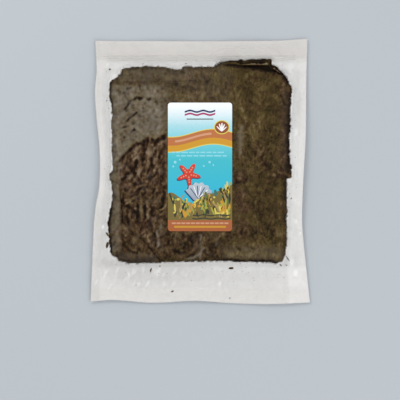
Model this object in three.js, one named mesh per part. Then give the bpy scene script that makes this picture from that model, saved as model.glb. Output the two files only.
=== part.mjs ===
// Dried brown seaweed: about fifty thin ragged sheets in a flat clear zip pouch, with a paper
// label on its front. The pack lies on its back with the label up. Units are millimetres, +Z is
// up, +Y points to the zip, and the origin is the middle of the pack's underside.
import * as THREE from 'three';

// The pouch, seen from the front
const POUCH_WIDTH = 230.6;
const POUCH_HEIGHT = 278.8;
const SIDE_SEAL = 7.5;
const BOTTOM_SEAL = 16;
// Least thickness of the solid, where the two webs of film lie together
const WEB_GAP = 0.8;

// The edges of the pouch are smooth curves. The side edges list [y, x], pulled in at the waist by
// the thick contents, and the end edges list [x, y].
const LEFT_EDGE = [
  [-139.4, -115.3], [-68, -112.4], [-40, -110.4], [-14, -106], [20, -105.6], [56, -109], [84, -110.7],
  [106, -109], [139.4, -110.4],
];
const RIGHT_EDGE = [
  [-139.4, 115.3], [-101, 111.3], [-68, 107.9], [-50, 106.9], [-15, 107.9], [40, 110.8], [99, 111.5],
  [139.4, 112.6],
];
const TOP_EDGE = [[-115.3, 137.4], [-20, 136.9], [40, 137.1], [82, 137.6], [115.3, 139.4]];
const BOTTOM_EDGE = [
  [-115.3, -136.9], [-92, -135.1], [-55, -138], [-36, -137.7], [-6, -136], [32, -138.4], [72, -139.4],
  [115.3, -137.8],
];

// The stack of sheets under the film, as outlines of three groups of layers
const STACK_THICKNESS = 14.4;
const LOWER_LAYERS_TOP = 5.4;
const STACK_EDGE_DROP = 1.6;
const STACK_EDGE_ROUNDING = 9;
// How far the edges of the stack stand out above the film beside them
const STACK_LEDGE = 1.8;
const UPPER_LAYERS = [
  [-94.9, 93], [-92.8, 95.6], [-88, 97.6], [-86, 100.8], [-82.8, 102.6], [-81.5, 106.8],
  [-78.5, 108.4], [-53, 109.9], [-35, 109], [-30.5, 107.3], [-19.8, 106.6], [-18.6, 109.4],
  [12.8, 109.6], [22.8, 113.2], [39, 110.8], [74, 105.3], [87, 101], [91.2, 96.4], [95.9, 87],
  [93.6, 45], [93.4, 10], [95.4, 4], [94.9, -6.2], [90.7, -7.6], [90.5, -78], [88.5, -88.5],
  [85, -94.8], [79.5, -96.9], [72, -95.5], [20, -93.7], [-44, -95.3], [-74.9, -96.6], [-80, -94.8],
  [-85.4, -94.2], [-88.5, -89.2], [-91.7, -88.6], [-95, -85.1], [-95.2, -79], [-96.9, -52],
  [-92, -28], [-93, -11.5], [-94.9, -8], [-94.4, -2.6], [-91.5, 1], [-93, 50], [-92.3, 64],
  [-94.9, 79],
];
const LOWER_LAYERS = [
  [12, 108.6], [22.6, 116], [50, 117], [73, 117.7], [75.2, 117], [75.6, 111.8], [82, 108.1],
  [89.3, 101.8], [91.2, 96.4], [80, 95], [12, 100],
];
// The crumpled sheet on top stops short of the others at its left and upper left sides
const TOP_SHEET = [
  [-96, 92.8], [8, 94.6], [20, 112], [97, 112], [97, -98], [-38, -98], [-50.5, -81.5],
  [-57, -74.5], [-64, -68.5], [-76.5, -60], [-80.6, -52], [-82, -33], [-85, -12.5], [-97, -8],
];
const TOP_SHEET_STEP = 1;

// Crumples of the top sheet: [height, wavelength, direction in degrees, bend, offset] each. They
// sink below the flat sheet more than they rise above it.
const CRUMPLES = [
  [0.6, 31, 28, 6, 3],
  [0.5, 23, 100, 5, 11],
  [0.5, 17, 62, 4, 7],
  [0.35, 13, 145, 3, 2],
];
const CRUMPLE_SINK = 0.75;
const FLAT_SIDE_CRUMPLE = 0.3;

// The underside is flat below the middle of the stack and curves up a little towards its edges
const BASE_HALF_WIDTH = 83.3;
const BASE_ENDS = [-84, 99.4];
const UNDERSIDE_RISE = 0.6;
const UNDERSIDE_ROUNDING = 12;

// The seams lie a little above the table, highest at the waist where the stack lifts them
const SEAM_LIFT = 1.9;
const WAIST_LIFT = 3.4;
const WAIST_SPREAD = 75;
const END_WAVE = 0.7;
const END_WAVELENGTH = 88;
const MARGIN_WRINKLE = 0.45;

// The zip: two ribs across the pouch between the side seals
const ZIP_RIBS = [118.6, 121.6];
const ZIP_RIB_HEIGHT = 0.8;
const ZIP_RIB_HALF_WIDTH = 1;
const ZIP_END = 102.5;

// The paper label, clear of the film by a small gap
const LABEL_WIDTH = 67.2;
const LABEL_HEIGHT = 134.4;
const LABEL_CENTRE = [-0.3, 4.6];
const LABEL_CORNER = 3;
const LABEL_THICKNESS = 0.35;
const LABEL_GAP = 0.3;
const LABEL_CLEAR_BAND = 9;

const HALF_WIDTH = POUCH_WIDTH / 2;
const HALF_HEIGHT = POUCH_HEIGHT / 2;
const DRAPE_STEP = 2;
const DRAPE_PASSES = 700;

// Zero below the first value, one above the second, smooth between
function ease(from, to, value) {
  const t = Math.min(1, Math.max(0, (value - from) / (to - from)));
  return t * t * (3 - 2 * t);
}

// A cubic curve through [place, value] pairs
function curveThrough(points, place) {
  let i = 0;
  while (i < points.length - 2 && place > points[i + 1][0]) i += 1;
  const slope = (a, b) => (points[b][1] - points[a][1]) / (points[b][0] - points[a][0]);
  const start = slope(Math.max(i - 1, 0), i + 1);
  const end = slope(i, Math.min(i + 2, points.length - 1));
  const span = points[i + 1][0] - points[i][0];
  const t = (place - points[i][0]) / span;
  return (2 * t ** 3 - 3 * t ** 2 + 1) * points[i][1] + (t ** 3 - 2 * t ** 2 + t) * span * start
    + (3 * t ** 2 - 2 * t ** 3) * points[i + 1][1] + (t ** 3 - t ** 2) * span * end;
}

// Distance to an outline, positive inside it and negative outside
function depthInside(outline, x, y) {
  let nearest = Infinity;
  let inside = false;
  outline.forEach(([ax, ay], i) => {
    const [bx, by] = outline[(i + 1) % outline.length];
    const along = ((x - ax) * (bx - ax) + (y - ay) * (by - ay)) / ((bx - ax) ** 2 + (by - ay) ** 2);
    const t = Math.min(1, Math.max(0, along));
    nearest = Math.min(nearest, Math.hypot(x - ax - t * (bx - ax), y - ay - t * (by - ay)));
    if ((ay > y) !== (by > y) && x < ax + ((y - ay) / (by - ay)) * (bx - ax)) inside = !inside;
  });
  return inside ? nearest : -nearest;
}

// The pouch is laid out as a plain rectangle, and this moves a point of it to its real place: the
// seals follow the curved edges, and the middle stays where it is.
function placeOnPouch(u, v) {
  const sideFade = ease(HALF_WIDTH - 25, HALF_WIDTH - SIDE_SEAL, Math.abs(u));
  const endFade = ease(HALF_HEIGHT - 40, HALF_HEIGHT, Math.abs(v));
  const side = u < 0 ? curveThrough(LEFT_EDGE, v) + HALF_WIDTH : curveThrough(RIGHT_EDGE, v) - HALF_WIDTH;
  const end = v < 0 ? curveThrough(BOTTOM_EDGE, u) + HALF_HEIGHT : curveThrough(TOP_EDGE, u) - HALF_HEIGHT;
  return [u + side * sideFade, v + end * endFade];
}

// Height of the middle of the seams above the table
function seamHeight(u, v) {
  const waist = WAIST_LIFT * Math.exp(-((v / WAIST_SPREAD) ** 2)) * ease(80, HALF_WIDTH, Math.abs(u));
  const wave = END_WAVE * Math.sin((2 * Math.PI * (u + v / 3)) / END_WAVELENGTH + Math.sign(v));
  const slanted = Math.sin((u * 0.8 + v * 0.6) / 2.6) * ease(-20, -50, u) * ease(-20, -50, v);
  return SEAM_LIFT + waist + wave * ease(60, HALF_HEIGHT, Math.abs(v))
    + MARGIN_WRINKLE * slanted * ease(HALF_HEIGHT, HALF_HEIGHT - BOTTOM_SEAL, -v);
}

// A zigzag wave of height one, rounded at its folds
function foldWave(phase) {
  return Math.asin(0.95 * Math.sin(phase)) / Math.asin(0.95);
}

// Depth of the crumples in the top sheet: strong on the left, weak on the right, none by the label
function crumple(x, y) {
  let height = 0;
  for (const [amount, wavelength, degrees, bend, offset] of CRUMPLES) {
    const angle = THREE.MathUtils.degToRad(degrees);
    const along = x * Math.cos(angle) + y * Math.sin(angle);
    const across = y * Math.cos(angle) - x * Math.sin(angle);
    const bent = along + bend * Math.sin(across / (wavelength * 0.45) + offset) + offset;
    height += amount * (foldWave((2 * Math.PI * bent) / wavelength) - CRUMPLE_SINK);
  }
  const left = ease(-20, -45, x) * (0.35 + 0.65 * ease(75, 30, y));
  const beside = Math.abs(x - LABEL_CENTRE[0]) - LABEL_WIDTH / 2;
  const beyond = Math.abs(y - LABEL_CENTRE[1]) - LABEL_HEIGHT / 2;
  const clear = ease(0, LABEL_CLEAR_BAND, Math.max(beside, beyond));
  return height * (FLAT_SIDE_CRUMPLE + (1 - FLAT_SIDE_CRUMPLE) * left) * clear;
}

// Top of the seaweed at a point, or minus infinity where there is none
function stackTop(x, y) {
  const upper = depthInside(UPPER_LAYERS, x, y);
  if (upper > 0) {
    const rounded = STACK_EDGE_DROP * (1 - ease(0, STACK_EDGE_ROUNDING, upper));
    const topSheet = depthInside(TOP_SHEET, x, y);
    const step = TOP_SHEET_STEP * ease(0.8, -0.8, topSheet);
    return STACK_THICKNESS - rounded - step + crumple(x, y) * ease(-3, 6, topSheet) * ease(0, 6, upper);
  }
  return depthInside(LOWER_LAYERS, x, y) > 0 ? LOWER_LAYERS_TOP : -Infinity;
}

function inSeal(u, v) {
  return Math.abs(u) >= HALF_WIDTH - SIDE_SEAL || v <= BOTTOM_SEAL - HALF_HEIGHT
    || v >= ZIP_RIBS[0] - 2 * ZIP_RIB_HALF_WIDTH;
}

// A web of film pulled tight between the seals: held is a height that a point is fixed at, or
// null, and least is the lowest that a free point may go
function drape(held, least) {
  const across = Math.round(POUCH_WIDTH / DRAPE_STEP);
  const along = Math.round(POUCH_HEIGHT / DRAPE_STEP);
  const place = (i, j) => [(i / across - 0.5) * POUCH_WIDTH, (j / along - 0.5) * POUCH_HEIGHT];
  const heights = [];
  const fixed = [];
  const lowest = [];
  for (let i = 0; i <= across; i += 1) {
    for (let j = 0; j <= along; j += 1) {
      const [u, v] = place(i, j);
      const height = held(u, v);
      fixed.push(height !== null);
      lowest.push(height === null ? least(u, v) : 0);
      heights.push(height === null ? Math.max(lowest.at(-1), SEAM_LIFT) : height);
    }
  }
  const row = along + 1;
  for (let pass = 0; pass < DRAPE_PASSES; pass += 1) {
    for (let k = row + 1; k < heights.length - row - 1; k += 1) {
      if (fixed[k]) continue;
      const mean = (heights[k - 1] + heights[k + 1] + heights[k - row] + heights[k + row]) / 4;
      heights[k] = Math.max(mean, lowest[k]);
    }
  }
  return (u, v) => {
    const s = Math.min(across - 1e-6, (u / POUCH_WIDTH + 0.5) * across);
    const t = Math.min(along - 1e-6, (v / POUCH_HEIGHT + 0.5) * along);
    const [i, j] = [Math.floor(s), Math.floor(t)];
    const k = i * row + j;
    const near = heights[k] * (i + 1 - s) + heights[k + row] * (s - i);
    const far = heights[k + 1] * (i + 1 - s) + heights[k + row + 1] * (s - i);
    return near * (j + 1 - t) + far * (t - j);
  };
}

function underside(u, v) {
  const beyond = Math.max(0, Math.abs(u) - BASE_HALF_WIDTH, BASE_ENDS[0] - v, v - BASE_ENDS[1]);
  return UNDERSIDE_RISE * (beyond / UNDERSIDE_ROUNDING) ** 2;
}

const backWeb = drape((u, v) => {
  const [x, y] = placeOnPouch(u, v);
  if (inSeal(u, v)) return seamHeight(u, v) - WEB_GAP / 2;
  const carries = depthInside(UPPER_LAYERS, x, y) > 0 || depthInside(LOWER_LAYERS, x, y) > 0;
  return carries ? underside(u, v) : null;
}, () => 0);

const frontWeb = drape(
  (u, v) => (inSeal(u, v) ? seamHeight(u, v) + WEB_GAP / 2 : null),
  (u, v) => Math.max(stackTop(...placeOnPouch(u, v)) - STACK_LEDGE, backWeb(u, v) + WEB_GAP),
);

function zipRib(u, v) {
  const ribs = ZIP_RIBS.map((y) => Math.max(0, 1 - Math.abs(v - y) / ZIP_RIB_HALF_WIDTH));
  return ZIP_RIB_HEIGHT * Math.max(...ribs) * ease(ZIP_END, ZIP_END - 2, Math.abs(u));
}

function frontHeight(u, v) {
  const contents = stackTop(...placeOnPouch(u, v));
  return contents > -Infinity ? contents : frontWeb(u, v) + zipRib(u, v);
}

// Evenly spaced values between two ends, both ends included
function spaced(from, to, parts) {
  return Array.from({ length: parts + 1 }, (_, i) => from + ((to - from) * i) / parts);
}

// Grid lines of the pouch: close at the seals, the zip and the edges of the stack, and closer over
// the crumpled left side than under the label
function pouchColumns() {
  const seal = HALF_WIDTH - SIDE_SEAL;
  return [
    -HALF_WIDTH, -110, ...spaced(-seal, -94, 6), ...spaced(-90, -34, 15), ...spaced(-24, 24, 4),
    ...spaced(34, 88, 9), ...spaced(92, seal, 6), 110, HALF_WIDTH,
  ];
}

function pouchRows() {
  const seal = HALF_HEIGHT - BOTTOM_SEAL;
  const [lowRib, highRib] = ZIP_RIBS;
  return [
    ...spaced(-HALF_HEIGHT, -seal, 4), ...spaced(-117, -99, 4), ...spaced(-96.5, -92.5, 2),
    ...spaced(-87, 103, 40), ...spaced(105.5, 116.5, 5), ...spaced(lowRib - 1, highRib + 1, 5),
    ...spaced(126, HALF_HEIGHT, 4),
  ];
}

// A closed solid between two height functions over a grid. The lower face may be a coarser grid
// that keeps every few lines of the upper one; its border cells take in all the border points.
function solidBetween(columns, rows, place, top, bottom, stride) {
  const [m, n] = [columns.length - 1, rows.length - 1];
  const positions = [];
  const triangles = [];
  const number = new Map();
  const vertex = (i, j, side) => {
    const key = `${i},${j},${side}`;
    if (!number.has(key)) {
      const [u, v] = [columns[i], rows[j]];
      number.set(key, positions.length / 3);
      positions.push(...place(u, v), side === 'top' ? top(u, v) : bottom(u, v));
    }
    return number.get(key);
  };
  for (let i = 0; i < m; i += 1) {
    for (let j = 0; j < n; j += 1) {
      const [a, b] = [vertex(i, j, 'top'), vertex(i + 1, j, 'top')];
      const [c, d] = [vertex(i + 1, j + 1, 'top'), vertex(i, j + 1, 'top')];
      if ((i + j) % 2) triangles.push(a, b, c, a, c, d);
      else triangles.push(a, b, d, b, c, d);
    }
  }
  const rim = [];
  for (let i = 0; i < m; i += 1) rim.push([i, 0]);
  for (let j = 0; j < n; j += 1) rim.push([m, j]);
  for (let i = m; i > 0; i -= 1) rim.push([i, n]);
  for (let j = n; j > 0; j -= 1) rim.push([0, j]);
  rim.forEach(([i, j], k) => {
    const [p, q] = rim[(k + 1) % rim.length];
    const [a, b] = [vertex(i, j, 'bottom'), vertex(p, q, 'bottom')];
    const [c, d] = [vertex(p, q, 'top'), vertex(i, j, 'top')];
    triangles.push(a, b, c, a, c, d);
  });
  for (let i = 0; i < m; i += stride) {
    for (let j = 0; j < n; j += stride) {
      triangles.push(...lowerCell(i, j, stride, m, n).map(([p, q]) => vertex(p, q, 'bottom')));
    }
  }
  const geometry = new THREE.BufferGeometry();
  geometry.setAttribute('position', new THREE.Float32BufferAttribute(positions, 3));
  geometry.setIndex(triangles);
  geometry.computeVertexNormals();
  return geometry;
}

// One cell of the lower face as a fan of triangles, seen from below, with every point of the
// fine grid that lies on the border. The fan starts at the corner furthest from the border.
function lowerCell(i, j, stride, m, n) {
  const loop = [];
  const walk = (p, q, dp, dq, border) => {
    for (let k = 0; k < stride; k += border ? 1 : stride) loop.push([p + dp * k, q + dq * k]);
  };
  walk(i, j, 0, 1, i === 0);
  walk(i, j + stride, 1, 0, j + stride === n);
  walk(i + stride, j + stride, 0, -1, i + stride === m);
  walk(i + stride, j, -1, 0, j === 0);
  const heart = [i === 0 ? i + stride : i, j === 0 ? j + stride : j];
  const start = loop.findIndex(([p, q]) => p === heart[0] && q === heart[1]);
  const fan = [...loop.slice(start), ...loop.slice(0, start)];
  const cell = [];
  for (let k = 1; k < fan.length - 1; k += 1) cell.push(fan[0], fan[k], fan[k + 1]);
  return cell;
}

// A point of a plain rectangle moved so that the rectangle's corners become round
function roundCorner(u, v) {
  const du = Math.max(0, Math.abs(u) - LABEL_WIDTH / 2 + LABEL_CORNER);
  const dv = Math.max(0, Math.abs(v) - LABEL_HEIGHT / 2 + LABEL_CORNER);
  const pull = du > 0 && dv > 0 ? Math.max(du, dv) / Math.hypot(du, dv) : 1;
  return [u - Math.sign(u) * du * (1 - pull), v - Math.sign(v) * dv * (1 - pull)];
}

function labelGeometry() {
  const lines = (size, parts) => {
    const half = size / 2;
    const flat = half - LABEL_CORNER;
    return [-half, 1.5 - half, ...spaced(-flat, flat, parts), half - 1.5, half];
  };
  const place = (u, v) => {
    const [x, y] = roundCorner(u, v);
    return [x + LABEL_CENTRE[0], y + LABEL_CENTRE[1]];
  };
  const back = (u, v) => stackTop(...place(u, v)) + LABEL_GAP;
  return solidBetween(lines(LABEL_WIDTH, 8), lines(LABEL_HEIGHT, 16), place,
    (u, v) => back(u, v) + LABEL_THICKNESS, back, 1);
}

const pack = new THREE.Group();

const seaweedBag = new THREE.Mesh(
  solidBetween(pouchColumns(), pouchRows(), placeOnPouch, frontHeight, backWeb, 2),
  new THREE.MeshStandardMaterial({ color: 0x50422a, roughness: 0.6, metalness: 0 }),
);
seaweedBag.name = 'seaweed_bag';
pack.add(seaweedBag);

const label = new THREE.Mesh(
  labelGeometry(),
  new THREE.MeshStandardMaterial({ color: 0x3fb9cf, roughness: 0.45, metalness: 0 }),
);
label.name = 'label';
pack.add(label);

export default pack;
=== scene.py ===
"""Dried brown seaweed sheets in a clear zip pouch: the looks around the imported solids."""
import math
from functools import partial

import bpy
import numpy as np
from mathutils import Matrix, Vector, geometry


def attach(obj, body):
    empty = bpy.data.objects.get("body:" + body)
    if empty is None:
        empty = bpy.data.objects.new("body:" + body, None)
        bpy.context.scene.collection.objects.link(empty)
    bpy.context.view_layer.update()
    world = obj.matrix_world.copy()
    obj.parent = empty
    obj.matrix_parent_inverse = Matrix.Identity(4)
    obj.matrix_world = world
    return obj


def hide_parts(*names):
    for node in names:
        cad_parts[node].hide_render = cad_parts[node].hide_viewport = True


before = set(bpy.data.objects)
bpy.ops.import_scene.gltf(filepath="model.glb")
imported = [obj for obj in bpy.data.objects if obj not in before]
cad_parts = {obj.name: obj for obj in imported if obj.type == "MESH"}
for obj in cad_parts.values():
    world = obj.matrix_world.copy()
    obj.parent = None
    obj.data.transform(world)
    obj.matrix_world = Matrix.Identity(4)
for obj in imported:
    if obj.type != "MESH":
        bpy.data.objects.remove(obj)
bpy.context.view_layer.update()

# Shapes are worked out in millimetres, as in the part's source, and scaled when a mesh is made
MM = 0.001

# The pouch, seen from the front
POUCH_WIDTH = 230.6
POUCH_HEIGHT = 278.8
HALF_WIDTH = POUCH_WIDTH / 2
HALF_HEIGHT = POUCH_HEIGHT / 2
SIDE_SEAL = 7.5
BOTTOM_SEAL = 16.0
# Side edges list (y, x), end edges list (x, y)
LEFT_EDGE = [
    (-139.4, -115.3), (-68, -112.4), (-40, -110.4), (-14, -106), (20, -105.6), (56, -109), (84, -110.7),
    (106, -109), (139.4, -110.4),
]
RIGHT_EDGE = [
    (-139.4, 115.3), (-101, 111.3), (-68, 107.9), (-50, 106.9), (-15, 107.9), (40, 110.8), (99, 111.5),
    (139.4, 112.6),
]
TOP_EDGE = [(-115.3, 137.4), (-20, 136.9), (40, 137.1), (82, 137.6), (115.3, 139.4)]
BOTTOM_EDGE = [
    (-115.3, -136.9), (-92, -135.1), (-55, -138), (-36, -137.7), (-6, -136), (32, -138.4), (72, -139.4),
    (115.3, -137.8),
]

# The stack of sheets: the upper layers, the lower layers that fan out at the top right, and the
# crumpled sheet on top, which stops short of the others at its left
TOP_LEFT = [
    (-94.9, 93), (-92.8, 95.6), (-88, 97.6), (-86, 100.8), (-82.8, 102.6), (-81.5, 106.8), (-78.5, 108.4),
    (-53, 109.9), (-35, 109), (-30.5, 107.3), (-19.8, 106.6), (-18.6, 109.4), (12.8, 109.6),
]
UPPER_TOP_RIGHT = [(22.8, 113.2), (39, 110.8), (74, 105.3), (87, 101), (91.2, 96.4)]
FAN_TOP_RIGHT = [
    (22.6, 116), (50, 117), (73, 117.7), (75.2, 117), (75.6, 111.8), (82, 108.1), (89.3, 101.8), (91.2, 96.4),
]
SIDES = [
    (95.9, 87), (93.6, 45), (93.4, 10), (95.4, 4), (94.9, -6.2), (90.7, -7.6), (90.5, -78), (88.5, -88.5),
    (85, -94.8), (79.5, -96.9), (72, -95.5), (20, -93.7), (-44, -95.3), (-74.9, -96.6), (-80, -94.8),
    (-85.4, -94.2), (-88.5, -89.2), (-91.7, -88.6), (-95, -85.1), (-95.2, -79), (-96.9, -52), (-92, -28),
    (-93, -11.5), (-94.9, -8), (-94.4, -2.6), (-91.5, 1), (-93, 50), (-92.3, 64), (-94.9, 79),
]
UPPER_LAYERS = TOP_LEFT + UPPER_TOP_RIGHT + SIDES
LOWER_LAYERS = TOP_LEFT + FAN_TOP_RIGHT + SIDES
TOP_SHEET = [
    (-96, 92.8), (8, 94.6), (20, 112), (97, 112), (97, -98), (-38, -98), (-50.5, -81.5),
    (-57, -74.5), (-64, -68.5), (-76.5, -60), (-80.6, -52), (-82, -33), (-85, -12.5), (-97, -8),
]
# Where the top edge of the lower layers runs, and a strip of them that shows at the corner
FAN_TOP = 117.4
CORNER_STRIP = (81, 105.6)
CORNER_STRIP_TURN = -34
STACK_THICKNESS = 14.4
LOWER_LAYERS_TOP = 5.2
STACK_EDGE_DROP = 1.6
STACK_EDGE_ROUNDING = 9.0
TOP_SHEET_STEP = 1.0
SHEET_THICKNESS = 0.18
SHEET_COUNT = 46
# Spacing of the points along a sheet's edge
EDGE_SPACING = 1.6
# Width of the bumps along the top of the lower layers
SCALLOP = 7.8
HIGHEST_FOLD = 0.35

# The underside is flat below the middle of the stack and curves up a little towards its edges
BASE_HALF_WIDTH = 83.3
BASE_ENDS = (-84, 99.4)
UNDERSIDE_RISE = 0.6
UNDERSIDE_ROUNDING = 12.0

# The seams lie a little above the table, highest at the waist where the stack lifts them
SEAM_LIFT = 1.9
WAIST_LIFT = 3.4
WAIST_SPREAD = 75.0
END_WAVE = 0.7
END_WAVELENGTH = 88.0
MARGIN_WRINKLE = 0.45
SEAL_THICKNESS = 0.3
FILM_CLEARANCE = 0.12

ZIP_RIBS = (118.6, 121.6)
ZIP_END = 102.5
SMALL_FLAKES = 70

LABEL_WIDTH = 67.2
LABEL_HEIGHT = 134.4
LABEL_CENTRE = (-0.3, 4.6)
LABEL_CORNER = 3.0
LABEL_BACK = 14.76
LABEL_FACE = 15.02
PRINT_GRAIN = 0.06


def ease(start, end, value):
    """Zero below start, one above end, smooth between."""
    t = np.clip((np.asarray(value, float) - start) / (end - start), 0, 1)
    return t * t * (3 - 2 * t)


def bell(t):
    """One at zero, falling off on both sides."""
    return np.exp(-(t**2))


def curve_through(points, place):
    """A cubic curve through (place, value) pairs."""
    at, value = np.array(points, float).T
    place = np.asarray(place, float)
    i = np.clip(np.searchsorted(at, place) - 1, 0, len(at) - 2)
    before, after = np.maximum(i - 1, 0), np.minimum(i + 2, len(at) - 1)
    start = (value[i + 1] - value[before]) / (at[i + 1] - at[before])
    end = (value[after] - value[i]) / (at[after] - at[i])
    span = at[i + 1] - at[i]
    t = (place - at[i]) / span
    return (
        (2 * t**3 - 3 * t**2 + 1) * value[i] + (t**3 - 2 * t**2 + t) * span * start
        + (3 * t**2 - 2 * t**3) * value[i + 1] + (t**3 - t**2) * span * end
    )


def covers(outline, x, y):
    """Whether places are inside an outline."""
    inside = np.zeros(x.shape, bool)
    for (ax, ay), (bx, by) in zip(outline, np.roll(outline, -1, axis=0)):
        if ay != by:
            inside ^= ((ay > y) != (by > y)) & (x < ax + (y - ay) / (by - ay) * (bx - ax))
    return inside


def depth_inside(outline, x, y):
    """Distance to an outline, positive inside it and negative outside."""
    x, y = np.asarray(x, float), np.asarray(y, float)
    nearest = np.full(x.shape, np.inf)
    for (ax, ay), (bx, by) in zip(outline, np.roll(outline, -1, axis=0)):
        dx, dy = bx - ax, by - ay
        t = np.clip(((x - ax) * dx + (y - ay) * dy) / (dx**2 + dy**2), 0, 1)
        nearest = np.minimum(nearest, np.hypot(x - ax - t * dx, y - ay - t * dy))
    return np.where(covers(outline, x, y), nearest, -nearest)


# How deep a place is inside each outline of the stack
inside_upper = partial(depth_inside, UPPER_LAYERS)
inside_lower = partial(depth_inside, LOWER_LAYERS)
inside_top = partial(depth_inside, TOP_SHEET)


def place_on_pouch(u, v):
    """A point of a plain rectangle, moved so that the border follows the pouch's edges."""
    side_fade = ease(HALF_WIDTH - 25, HALF_WIDTH - SIDE_SEAL, abs(u))
    end_fade = ease(HALF_HEIGHT - 40, HALF_HEIGHT, abs(v))
    left, right = curve_through(LEFT_EDGE, v) + HALF_WIDTH, curve_through(RIGHT_EDGE, v) - HALF_WIDTH
    foot, head = curve_through(BOTTOM_EDGE, u) + HALF_HEIGHT, curve_through(TOP_EDGE, u) - HALF_HEIGHT
    return u + np.where(u < 0, left, right) * side_fade, v + np.where(v < 0, foot, head) * end_fade


def seam_height(u, v):
    """Height of the middle of the seams above the table."""
    waist = WAIST_LIFT * bell(v / WAIST_SPREAD) * ease(80, HALF_WIDTH, abs(u))
    wave = END_WAVE * np.sin(2 * math.pi * (u + v / 3) / END_WAVELENGTH + np.sign(v))
    slanted = np.sin((u * 0.8 + v * 0.6) / 2.6) * ease(-20, -50, u) * ease(-20, -50, v)
    return (
        SEAM_LIFT + waist + wave * ease(60, HALF_HEIGHT, abs(v))
        + MARGIN_WRINKLE * slanted * ease(HALF_HEIGHT, HALF_HEIGHT - BOTTOM_SEAL, -v)
    )


def underside(u, v):
    beyond = np.maximum.reduce([abs(u) - BASE_HALF_WIDTH, BASE_ENDS[0] - v, v - BASE_ENDS[1], 0 * u])
    return UNDERSIDE_RISE * (beyond / UNDERSIDE_ROUNDING) ** 2


def lattice(i, j, seed):
    """A fixed random number from 0 to 1 for each whole-number place."""
    n = (i * 374761393 + j * 668265263 + seed * 362437) & 0x7FFFFFFF
    n = ((n ^ (n >> 13)) * 1274126177) & 0x7FFFFFFF
    n = ((n ^ (n >> 16)) * 1103515245) & 0x7FFFFFFF
    return (n ^ (n >> 15)) / 0x7FFFFFFF


def noise(x, y, size, seed):
    """Smooth gradient noise, about -0.7 to 0.7, with lumps of the given size."""
    x, y = np.asarray(x, float) / size, np.asarray(y, float) / size
    i, j = np.floor(x).astype(np.int64), np.floor(y).astype(np.int64)
    s, t = x - i, y - j

    def corner(di, dj):
        angle = 2 * math.pi * lattice(i + di, j + dj, seed)
        return np.cos(angle) * (s - di) + np.sin(angle) * (t - dj)

    a, b = s**3 * (s * (6 * s - 15) + 10), t**3 * (t * (6 * t - 15) + 10)
    low = corner(0, 0) * (1 - a) + corner(1, 0) * a
    high = corner(0, 1) * (1 - a) + corner(1, 1) * a
    return low * (1 - b) + high * b


def turned(x, y, degrees):
    angle = math.radians(degrees)
    return x * math.cos(angle) + y * math.sin(angle), y * math.cos(angle) - x * math.sin(angle)


def beyond_label(x, y):
    """How far a point is outside the label's rectangle, negative inside it."""
    beside = abs(x - LABEL_CENTRE[0]) - LABEL_WIDTH / 2
    above = abs(y - LABEL_CENTRE[1]) - LABEL_HEIGHT / 2
    return np.maximum(beside, above)


# The smooth part of the top sheet at the upper left ends in a torn edge over the crumpled part
SMOOTH_FLAP = [
    (-110, 120), (-110, 10), (-86, 10.5), (-83.5, 14), (-77, 20), (-71, 27.5), (-67, 30.5), (-63, 29.5),
    (-56.5, 35.5), (-51.5, 37), (-47.5, 31.5), (-44, 36.5), (-38, 38.5), (-10, 44), (-10, 120),
]
inside_flap = partial(depth_inside, SMOOTH_FLAP)


def crumpled_share(x, y):
    """How crumpled the top sheet is: most at its left below the flap, less below the label."""
    wander = 8 * noise(x, y, 28, 71)
    flap = inside_flap(x, y)
    left = ease(-30, -38, x) * ease(-89, -84, x) * (0.14 + 0.86 * ease(0.8, -1.2, flap))
    left = left * (1 - 0.6 * ease(-82, -88, y))
    low = 0.8 * ease(-52, -68, y + wander) * ease(36, 10, x + wander)
    beside = 0.2 * ease(58, 42, x + wander) * ease(34, 4, y) * ease(0, 30, x)
    above = 0.16 * ease(-42, -30, x) * ease(40, 14, x + wander) * ease(62, 72, y)
    share = np.maximum.reduce([left, low, beside, above])
    share = share * (1 - 0.42 * ease(-10, -30, y))
    return share * ease(0, 6, inside_upper(x, y) + 0.3 * wander)


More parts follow.
